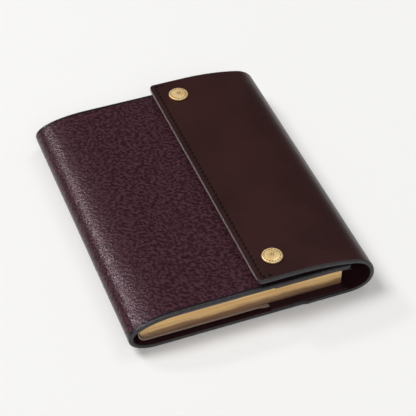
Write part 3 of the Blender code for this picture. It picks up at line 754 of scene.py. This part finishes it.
def strips():
    """Strips that bend over one hinge or ride on one body."""
    front, spine, seam = MARKS["front"] - HINGE_REACH, MARKS["spine"] + HINGE_REACH, MARKS["seam"]
    middle = (MARKS["front"] + MARKS["spine"]) / 2
    hinges = even(MARKS["fold_start"], MARKS["fold_end"], FOLD_SEGMENTS)
    between = [(a + b) / 2 for a, b in zip(hinges, hinges[1:])]
    cuts = [hinges[0] - HINGE_REACH, *between, hinges[-1] + HINGE_REACH]
    made = [
        Strip("front_cover_wall", 0.0, front, ("front",), ("front_cover_leather", "front_cover_lining")),
        Strip("spine_front_bend", front, middle, ("front", "spine"), ()),
        Strip("spine_back_bend", middle, spine, ("spine", "back"), ("spine_leather", "spine_lining")),
        Strip("back_cover_wall", spine, seam, ("back",), ("back_cover_leather", "back_cover_lining")),
        Strip("flap_root_wall", seam, cuts[0], ("back",), ("flap_root_leather",)),
    ]
    bodies = ["back"] + [f"fold_{i + 1}" for i in range(FOLD_SEGMENTS)] + ["flap"]
    for i, (a, b) in enumerate(zip(cuts, cuts[1:])):
        nodes = (f"fold_leather_{i}", f"fold_lining_{i}") if i > 0 else ()
        made.append(Strip(f"fold_bend_{i + 1}", a, b, (bodies[i], bodies[i + 1]), nodes))
    made.append(Strip("flap_wall", cuts[-1], WRAP.length, ("flap",), ("flap_leather", "flap_lining")))
    return made


def smooth_seams(pieces):
    """Gives touching strips one shared normal along their common ring, so that no line shows there."""
    def key(vertex):
        return tuple(round(c, 6) for c in vertex.co)

    shared = defaultdict(Vector)
    for obj in pieces:
        for polygon in obj.data.polygons:
            for index in polygon.vertices:
                shared[key(obj.data.vertices[index])] += polygon.normal * polygon.area
    for obj in pieces:
        normals = [shared[key(vertex)].normalized() for vertex in obj.data.vertices]
        obj.data.normals_split_custom_set_from_vertices(normals)


def build_wall():
    rows = strips()
    made = [wall(strip) for strip in rows]
    smooth_seams(made)
    for obj, strip in zip(made, rows):
        finish_piece(obj, strip.bodies, strip.nodes, blend_ends(strip))


# Stitching

Stitch = namedtuple("Stitch", "pitch share radius")

FLAP_STITCH = Stitch(0.0043, 0.58, 0.00062)
COVER_STITCH = Stitch(0.0038, 0.78, 0.00026)
SEAM_STITCH = Stitch(0.0038, 0.78, 0.00022)
POCKET_STITCH = Stitch(0.0034, 0.78, 0.00022)
FLAP_SLANT = 0.00060
FLAP_TURNED_IN = 0.007
FLAP_LEAST_TURN = 0.0008
COVER_STITCH_INSET = 0.0030
COVER_ROW_START = 0.004
SEAM_STITCH_INSET = 0.0022
ROW_END = 0.005
PATH_STEPS = 120
PATH_STEP = 0.002
# Heights of the rows over the leather; those under the book lie deepest
LOW_ROW = -0.00018
SIDE_ROW = -0.00006
FRONT_ROW = -0.00004
SEAM_ROW = -0.00014
THREAD_SIDES = 6
THREAD_FLATNESS = 0.8
# Surface coordinates of a stitch: its length, and the width of each side of the thread
STITCH_LENGTH_MM = 3.2
THREAD_SIDE_MM = 0.3
# (share of the stitch, rise in thread radii, thickness) up to the middle of a stitch
STITCH_RISE = ((0.0, -1.0, 0.7), (0.12, 0.1, 0.9), (0.3, 0.55, 1.0), (0.5, 0.65, 1.0))
STITCH_FALL = tuple((1 - t, lift, size) for t, lift, size in STITCH_RISE[-2::-1])


def stitch_mesh(mesh, a, b, up, radius):
    """One stitch: a thread that rises out of its hole at a and goes down again at b."""
    way = b - a
    side = way.cross(up).normalized()
    rings = []
    for t, lift, size in STITCH_RISE + STITCH_FALL:
        centre = a + way * t + up * (lift * radius)
        ring = []
        for k in range(THREAD_SIDES):
            turn = 2 * math.pi * k / THREAD_SIDES
            wide = side * (radius * size * math.cos(turn))
            high = up * (radius * size * THREAD_FLATNESS * math.sin(turn))
            ring.append(mesh.verts.new(centre + wide + high))
        rings.append((ring, t * STITCH_LENGTH_MM))
    for (a, u_a), (b, u_b) in zip(rings, rings[1:]):
        for k in range(THREAD_SIDES):
            n = (k + 1) % THREAD_SIDES
            v, w = k * THREAD_SIDE_MM, (k + 1) * THREAD_SIDE_MM
            add_face(mesh, (a[k], a[n], b[n], b[k]), ((u_a, v), (u_a, w), (u_b, w), (u_b, v)))


def stitch_row(name, path, stitch, material, lift=0.0, slant=0.0):
    """Stitches along a path of (place, outward normal), lifted off it and slanted over it."""
    mesh = new_mesh()
    path = [(Vector(place), Vector(normal)) for place, normal in path]
    lengths = [0.0]
    for (p, _), (q, _) in zip(path, path[1:]):
        lengths.append(lengths[-1] + (q - p).length)

    def at(s):
        i = min(max(np.searchsorted(lengths, s) - 1, 0), len(path) - 2)
        t = (s - lengths[i]) / max(lengths[i + 1] - lengths[i], TINY)
        (place, normal), (next_place, next_normal) = path[i], path[i + 1]
        return place.lerp(next_place, t), normal.lerp(next_normal, t).normalized()

    count = max(1, int(lengths[-1] / stitch.pitch))
    gap = lengths[-1] / count
    for i in range(count):
        a, up = at(i * gap + (1 - stitch.share) * gap / 2)
        b, _ = at(i * gap + (1 + stitch.share) * gap / 2)
        lean = (b - a).cross(up).normalized() * slant
        stitch_mesh(mesh, a - lean + up * lift, b + lean + up * lift, up, stitch.radius)
    return new_object(name, mesh, material)


def flap_stitch_path():
    """Along the flap's free edge and a little way round both of its corners."""
    half = FLAP_LENGTH / 2 - STITCH_INSET
    radius = max(FLAP_CORNER - STITCH_INSET, FLAP_LEAST_TURN)
    edge = WRAP.length - STITCH_INSET
    straight = even(edge - radius - FLAP_TURNED_IN, edge - radius, CORNER_STEPS)
    turns = even(0.0, math.pi / 2, CORNER_STEPS)[1:-1]
    path = [(s, -half) for s in straight]
    path += [(edge - radius * (1 - math.sin(t)), -half + radius * (1 - math.cos(t))) for t in turns]
    path += [(edge, y) for y in even(-half + radius, half - radius, PATH_STEPS)]
    path += [(edge - radius * (1 - math.cos(t)), half - radius * (1 - math.sin(t))) for t in turns]
    path += [(s, half) for s in reversed(straight)]
    return [outer_place(s, y) for s, y in path]


def cover_stitches(strip):
    """The rows along both ends of a burgundy strip."""
    first = max(strip.start, COVER_ROW_START)
    count = max(4, int((strip.end - first) / PATH_STEP))
    height = LOW_ROW if "back" in strip.bodies else SIDE_ROW
    for side, word in ((-1, "near"), (1, "far")):
        y = side * (COVER_LENGTH / 2 - COVER_STITCH_INSET)
        path = [outer_place(s, y) for s in even(first, strip.end, count)]
        row = stitch_row(f"{strip.name}_stitches_{word}", path, COVER_STITCH, BURGUNDY_THREAD, height)
        finish_piece(row, strip.bodies, ends=blend_ends(strip))


def build_stitching():
    path = flap_stitch_path()
    row = stitch_row("flap_edge_stitches", path, FLAP_STITCH, BROWN_THREAD, slant=FLAP_SLANT)
    finish_piece(row, ("flap",))
    for strip in strips():
        if is_burgundy(strip):
            cover_stitches(strip)
    half = COVER_LENGTH / 2 - ROW_END
    lengthwise = even(-half, half, PATH_STEPS)
    path = [outer_place(COVER_STITCH_INSET, y) for y in lengthwise]
    row = stitch_row("front_edge_stitches", path, COVER_STITCH, BURGUNDY_THREAD, FRONT_ROW)
    finish_piece(row, ("front",))
    for word, s, material, slot in (
        ("back", MARKS["seam"] - SEAM_STITCH_INSET, BURGUNDY_THREAD, "burgundy_leather"),
        ("flap", MARKS["seam"] + SEAM_STITCH_INSET, BROWN_THREAD, "brown_leather"),
    ):
        path = [outer_place(s, y) for y in lengthwise]
        row = stitch_row(f"seam_stitches_{word}", path, SEAM_STITCH, material, SEAM_ROW)
        finish_piece(row, ("back",))


# Pages

SECTION_COUNT = 8
SECTIONS_ON_BACK = 3
SECTION_GAP = 0.00002
SPREAD = (CLEARANCE - SECTION_GAP) / 2
SPREAD_LENGTH = 0.020
FOLD_STEPS = 8
LEAF_COLUMNS = 24
COLUMN_CROWDING = 1.5


def section_outline(low, high, left):
    """A folded section from its end: round at the spine, cut at the fore edge.

    Away from their sewn fold the leaves spread until they nearly touch the next section.
    """
    def swell(x):
        return SPREAD * smooth_step((x - left) / SPREAD_LENGTH)

    middle, radius = (low + high) / 2, (high - low) / 2
    outline = []
    for turn in even(math.pi / 2, 1.5 * math.pi, FOLD_STEPS):
        outline.append((left + radius + radius * math.cos(turn), middle + radius * math.sin(turn)))
    leaves = FORE_EDGE - left - radius
    spots = [left + radius + leaves * share**COLUMN_CROWDING for share in even(0.0, 1.0, LEAF_COLUMNS)[1:]]
    outline += [(x, low - swell(x)) for x in spots]
    outline += [(x, high + swell(x)) for x in reversed(spots)]
    return outline


def section_block(name, outline):
    """A section of leaves, gilded on its three cut sides."""
    def places(corners, first, second):
        return [(vert.co[first] * TO_MM, vert.co[second] * TO_MM) for vert in corners]

    mesh = new_mesh()
    gilt, paper = 0, 1
    near = [mesh.verts.new((x, -INSERT_LENGTH / 2, z)) for x, z in outline]
    far = [mesh.verts.new((x, INSERT_LENGTH / 2, z)) for x, z in outline]
    for i in range(len(outline)):
        k = (i + 1) % len(outline)
        corners = (near[i], near[k], far[k], far[i])
        if min(outline[i][0], outline[k][0]) > FORE_EDGE - TINY:
            add_face(mesh, corners, places(corners, 1, 2), gilt, False)
        else:
            add_face(mesh, corners, places(corners, 0, 1), paper, False)
    for row in (near[::-1], far):
        add_face(mesh, row, places(row, 0, 2), gilt, False)
    bmesh.ops.recalc_face_normals(mesh, faces=mesh.faces)
    return new_object(name, mesh, GILT, PAPER)


def build_pages():
    for i in range(1, SECTION_COUNT + 1):
        node = f"pages_{i}"
        low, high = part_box(node)
        obj = section_block(f"{node}_leaves", section_outline(low.z, high.z, low.x))
        finish_piece(obj, ("back" if i <= SECTIONS_ON_BACK else node,), (node,))


# Pockets

Pocket = namedtuple("Pocket", "name node body start end mouth_at_end")

POCKET_FACE = PLY + POCKET_LEATHER
CARD_ROOM = 0.0011
POCKET_SEAM = 0.0016
POCKET_RAMP = 0.0015
POCKET_EDGE_ROUND = 0.00045
POCKET_STITCH_INSET = 0.0009
POCKET_LENGTH_STEPS = 44
POCKET_WIDTH_STEPS = 90


def pocket_sheet(mesh, pocket, spots, places, under):
    """Points of one face of a panel, which rises from its seams over the card inside."""
    rows = []
    for s in spots:
        from_back = s - pocket.start if pocket.mouth_at_end else pocket.end - s
        row = []
        for y in places:
            from_seam = min(from_back, POCKET_LENGTH / 2 - abs(y)) - POCKET_SEAM
            depth = POCKET_FACE + CARD_ROOM * smooth_step(from_seam / POCKET_RAMP) - under
            row.append(mesh.verts.new(WRAP.at(s, y, depth)))
        rows.append(row)
    return rows


def pocket_panel(pocket):
    """A leather panel that is sewn down on three sides and open at its mouth."""
    half = POCKET_LENGTH / 2
    rows, columns = POCKET_LENGTH_STEPS, POCKET_WIDTH_STEPS
    spots = [pocket.start + (pocket.end - pocket.start) * across(t) for t in even(0.0, 1.0, rows)]
    places = [-half + POCKET_LENGTH * across(t) for t in even(0.0, 1.0, columns)]
    mesh = new_mesh()
    top = pocket_sheet(mesh, pocket, spots, places, 0.0)
    low = pocket_sheet(mesh, pocket, spots, places, POCKET_LEATHER)

    def uv(i, j):
        return (spots[i] * TO_MM, places[j] * TO_MM)

    for i in range(rows):
        for j in range(columns):
            a, b, c, d = (i, j), (i, j + 1), (i + 1, j + 1), (i + 1, j)
            for sheet, order in ((top, (a, b, c, d)), (low, (a, d, c, b))):
                add_face(mesh, [sheet[m][n] for m, n in order], [uv(m, n) for m, n in order])
    rim = [(i, 0) for i in range(rows)]
    rim += [(rows, j) for j in range(columns)]
    rim += [(i, columns) for i in range(rows, 0, -1)]
    rim += [(0, j) for j in range(columns, 0, -1)]
    for (i, j), (k, n) in zip(rim, rim[1:] + rim[:1]):
        corners = (top[i][j], top[k][n], low[k][n], low[i][j])
        add_face(mesh, corners, (uv(i, j), uv(k, n), uv(k, n), uv(i, j)), 1)
    bmesh.ops.recalc_face_normals(mesh, faces=mesh.faces)
    obj = new_object(pocket.name, mesh, LINING, EDGE)
    bevel = obj.modifiers.new("rounded_rim", "BEVEL")
    bevel.width = POCKET_EDGE_ROUND
    bevel.segments = 3
    bevel.limit_method = "ANGLE"
    bevel.angle_limit = math.radians(50)
    finish_piece(obj, (pocket.body,), (pocket.node,))


def pocket_stitches(pocket):
    """The row along the three sewn sides, from mouth to mouth."""
    inset = POCKET_STITCH_INSET
    end = POCKET_LENGTH / 2 - inset
    mouth, back = pocket.start + inset, pocket.end - inset
    if pocket.mouth_at_end:
        mouth, back = back, mouth
    path = [(s, -end) for s in even(mouth, back, PATH_STEPS // 4)]
    path += [(back, y) for y in even(-end, end, PATH_STEPS // 2)[1:-1]]
    path += [(s, end) for s in even(back, mouth, PATH_STEPS // 4)]
    spots = []
    for s, y in path:
        nx, nz = WRAP.inward(s)
        spots.append((WRAP.at(s, y, POCKET_FACE), (nx, 0.0, nz)))
    row = stitch_row(f"{pocket.name}_stitches", spots, POCKET_STITCH, BURGUNDY_THREAD)
    finish_piece(row, (pocket.body,))


def build_pockets():
    fold = MARKS["fold_start"]
    front_mouth = POCKET_INSET + POCKET_WIDTH
    for pocket in (
        Pocket("back_pocket_panel", "back_pocket", "back", fold - POCKET_WIDTH, fold, False),
        Pocket("front_pocket_panel", "front_pocket", "front", POCKET_INSET, front_mouth, True),
    ):
        pocket_panel(pocket)
        pocket_stitches(pocket)


# Press studs

LATHE_STEPS = 72
CAP_GAP = 0.00002
RIVET_NECK = 0.0030
RIVET_RADIUS = 0.0020
RIVET_FLARE = 0.0026
RIVET_BEND = 0.0003
# (radius, height) in millimetres, from middle to rim: a low dome, a shallow groove and a rolled rim
CAP_MIDDLE = ((0.0, 2.34), (0.6, 2.33), (1.2, 2.30), (2.4, 2.21), (3.4, 2.10), (3.7, 2.08), (4.0, 2.02))
CAP_GROOVE = ((4.9, 1.85), (5.6, 1.69), (6.15, 1.55), (6.3, 1.59), (6.5, 1.64), (6.75, 1.60))
CAP_RIM = ((7.0, 1.44), (7.2, 1.20), (7.3, 0.92), (7.3, 0.70), (7.15, 0.50), (6.85, 0.36), (6.6, 0.0))
# Rings of ovals on a cap: count, radius of the ring, height over the cap's base, size and flatness
CAP_OVALS = (
    (18, 0.0056, 0.00168, 0.00074, (1.0, 0.52, 0.18)),
    (6, 0.0010, 0.00231, 0.00060, (1.0, 0.42, 0.16)),
)


def lathe(name, profile, centre, *materials):
    """A turned piece from a profile of (radius, z)."""
    mesh = bmesh.new()
    rings = []
    for radius, z in profile:
        ring = []
        for i in range(LATHE_STEPS if radius > TINY else 1):
            turn = 2 * math.pi * i / LATHE_STEPS
            place = (centre[0] + radius * math.cos(turn), centre[1] + radius * math.sin(turn), z)
            ring.append(mesh.verts.new(place))
        rings.append(ring)
    for a, b in zip(rings, rings[1:]):
        for i in range(LATHE_STEPS):
            k = (i + 1) % LATHE_STEPS
            if len(a) == 1:
                mesh.faces.new((a[0], b[i], b[k]))
            elif len(b) == 1:
                mesh.faces.new((a[i], b[0], a[k]))
            else:
                mesh.faces.new((a[i], b[i], b[k], a[k]))
    bmesh.ops.recalc_face_normals(mesh, faces=mesh.faces)
    obj = new_object(name, mesh, *materials)
    obj.data.shade_smooth()
    obj.data.set_sharp_from_angle(angle=math.radians(40))
    return obj


def add_ovals(obj, centre, base):
    """Rings of small ovals on a cap's face, each pointing outwards."""
    mesh = bmesh.new()
    mesh.from_mesh(obj.data)
    for count, ring, height, radius, shape in CAP_OVALS:
        for i in range(count):
            turn = Matrix.Rotation(2 * math.pi * (i + 0.5) / count, 3, "Z")
            made = bmesh.ops.create_uvsphere(mesh, u_segments=12, v_segments=8, radius=radius)["verts"]
            bmesh.ops.scale(mesh, vec=shape, verts=made)
            bmesh.ops.translate(mesh, vec=(ring, 0.0, 0.0), verts=made)
            bmesh.ops.rotate(mesh, cent=(0, 0, 0), matrix=turn, verts=made)
            bmesh.ops.translate(mesh, vec=(centre[0], centre[1], base + height), verts=made)
            for vert in made:
                for face in vert.link_faces:
                    face.smooth = True
                    face.material_index = 1
    mesh.to_mesh(obj.data)
    mesh.free()


def build_caps():
    """The caps on the flap, each with the hollowed rivet that holds its socket."""
    base = FLAP_TOP + CAP_GAP
    head = [(radius / TO_MM, base + height / TO_MM) for radius, height in CAP_MIDDLE + CAP_GROOVE + CAP_RIM]
    for end, side in (("near", -1), ("far", 1)):
        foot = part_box(f"snap_cap_{end}")[0].z
        rivet = [
            (RIVET_NECK, base),
            (RIVET_RADIUS, base - RIVET_BEND),
            (RIVET_RADIUS, foot + RIVET_BEND),
            (RIVET_FLARE, foot + RIVET_BEND / 2),
            (RIVET_FLARE, foot),
            (0.0, foot),
        ]
        centre = (SNAP_X, side * SNAP_Y)
        obj = lathe(f"popper_cap_{end}", head + rivet, centre, BRASS, PATINA)
        add_ovals(obj, centre, base)
        finish_piece(obj, ("flap",), (f"snap_cap_{end}",))


def dress_nodes():
    """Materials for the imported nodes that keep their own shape."""
    looks = {
        "insert_back_card": CARD,
        "insert_front_card": CARD,
        "insert_spine_cloth": CLOTH,
        "front_stiffener_board": BOARD,
        "back_stiffener_board": BOARD,
    }
    for end in ("near", "far"):
        for kind in ("socket", "stud", "post"):
            looks[f"snap_{kind}_{end}"] = BRASS
        looks[f"snap_spring_{end}"] = STEEL
    for node, material in looks.items():
        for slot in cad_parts[node].material_slots:
            slot.material = material


# Stage

FLOOR_RADIUS = 14.0
FLOOR_DROP = 0.0003
WARM_WHITE = (1.0, 0.995, 0.987, 1.0)
ROOM_LIGHT = 0.15
CARD_LIGHT = 0.06
# The way to the dark card's middle, and the cosines from there at which its shade starts and is full
DARK_CARD = (0.42, 0.60, 0.68)
CARD_SHADE = (0.62, 0.93)
# Name, azimuth, elevation, distance, width, height, watts; azimuths run from +Y towards -X
LAMPS = (
    ("key_softbox", 56.0, 60.0, 6.0, 2.4, 2.4, 226.0),
    ("spine_strip", 35.5, 36.5, 5.0, 1.1, 0.5, 41.0),
    ("side_softbox", -65.0, 60.0, 6.0, 2.4, 2.4, 42.0),
    ("front_fill", 175.0, 40.0, 6.0, 2.4, 2.4, 75.0),
)
CAMERA_AZIMUTH = math.radians(-20.85)
CAMERA_ELEVATION = math.radians(43.34)
CAMERA_DISTANCE = 1.0790
CAMERA_TARGET = (0.01008, 0.00319, 0.0)
FOCAL_PIXELS = 1472.76
PICTURE_PIXELS = 416
SENSOR = 36.0


def table_top():
    """A pale table that glows a little, which lightens the shadows on it."""
    m = Nodes("pale_glowing_table")
    cloud = m.noise(m.solid_place(), 2.0, 2.0)
    return m.finish(
        colour=m.mix(cloud, (0.745, 0.741, 0.732), (0.755, 0.751, 0.744)),
        rough=0.9,
        specular=0.05,
        glow=(1.0, 0.993, 0.978),
        glow_strength=0.19,
    )


def build_floor():
    place = (0, 0, -FLOOR_DROP)
    bpy.ops.mesh.primitive_circle_add(vertices=96, radius=FLOOR_RADIUS, fill_type="NGON", location=place)
    floor = bpy.context.object
    floor.name = "studio_floor"
    floor.data.materials.append(table_top())


def build_room():
    """An even room with a dark card where the flat covers would mirror it into the camera."""
    world = bpy.data.worlds.new("studio")
    bpy.context.scene.world = world
    world.use_nodes = True
    tree = world.node_tree
    background = tree.nodes["Background"]
    coordinates = tree.nodes.new("ShaderNodeTexCoord")
    card = tree.nodes.new("ShaderNodeVectorMath")
    card.operation = "DOT_PRODUCT"
    card.inputs[1].default_value = Vector(DARK_CARD).normalized()
    ramp = tree.nodes.new("ShaderNodeMapRange")
    ramp.interpolation_type = "SMOOTHSTEP"
    ramp.inputs["From Min"].default_value = CARD_SHADE[0]
    ramp.inputs["From Max"].default_value = CARD_SHADE[1]
    ramp.inputs["To Min"].default_value = ROOM_LIGHT
    ramp.inputs["To Max"].default_value = CARD_LIGHT
    tree.links.new(coordinates.outputs["Generated"], card.inputs[0])
    tree.links.new(card.outputs["Value"], ramp.inputs["Value"])
    tree.links.new(ramp.outputs["Result"], background.inputs["Strength"])
    background.inputs["Color"].default_value = WARM_WHITE


def aim(obj, place, way):
    """Puts a lamp or camera in its place and points it."""
    bpy.context.scene.collection.objects.link(obj)
    obj.location = place
    obj.rotation_mode = "QUATERNION"
    obj.rotation_quaternion = way.to_track_quat("-Z", "Y")


def build_lights():
    for name, azimuth, elevation, distance, width, height, power in LAMPS:
        turn, rise = math.radians(azimuth), math.radians(elevation)
        flat = distance * math.cos(rise)
        place = Vector((-flat * math.sin(turn), flat * math.cos(turn), distance * math.sin(rise)))
        data = bpy.data.lights.new(name, "AREA")
        data.shape = "RECTANGLE"
        data.size = width
        data.size_y = height
        data.energy = power
        aim(bpy.data.objects.new(name, data), place, -place)


def build_camera():
    flat, rise = math.cos(CAMERA_ELEVATION), math.sin(CAMERA_ELEVATION)
    back = Vector((math.sin(CAMERA_AZIMUTH) * flat, -math.cos(CAMERA_AZIMUTH) * flat, rise))
    data = bpy.data.cameras.new("photo_camera")
    data.sensor_width = SENSOR
    data.lens = FOCAL_PIXELS / PICTURE_PIXELS * SENSOR
    data.clip_start = 0.05
    data.clip_end = 50.0
    camera = bpy.data.objects.new("photo_camera", data)
    aim(camera, Vector(CAMERA_TARGET) + back * CAMERA_DISTANCE, -back)
    bpy.context.scene.camera = camera


build_camera()
build_wall()
build_stitching()
build_pages()
build_pockets()
build_caps()
dress_nodes()
build_floor()
build_room()
build_lights()
bpy.context.scene.view_settings.view_transform = "Standard"
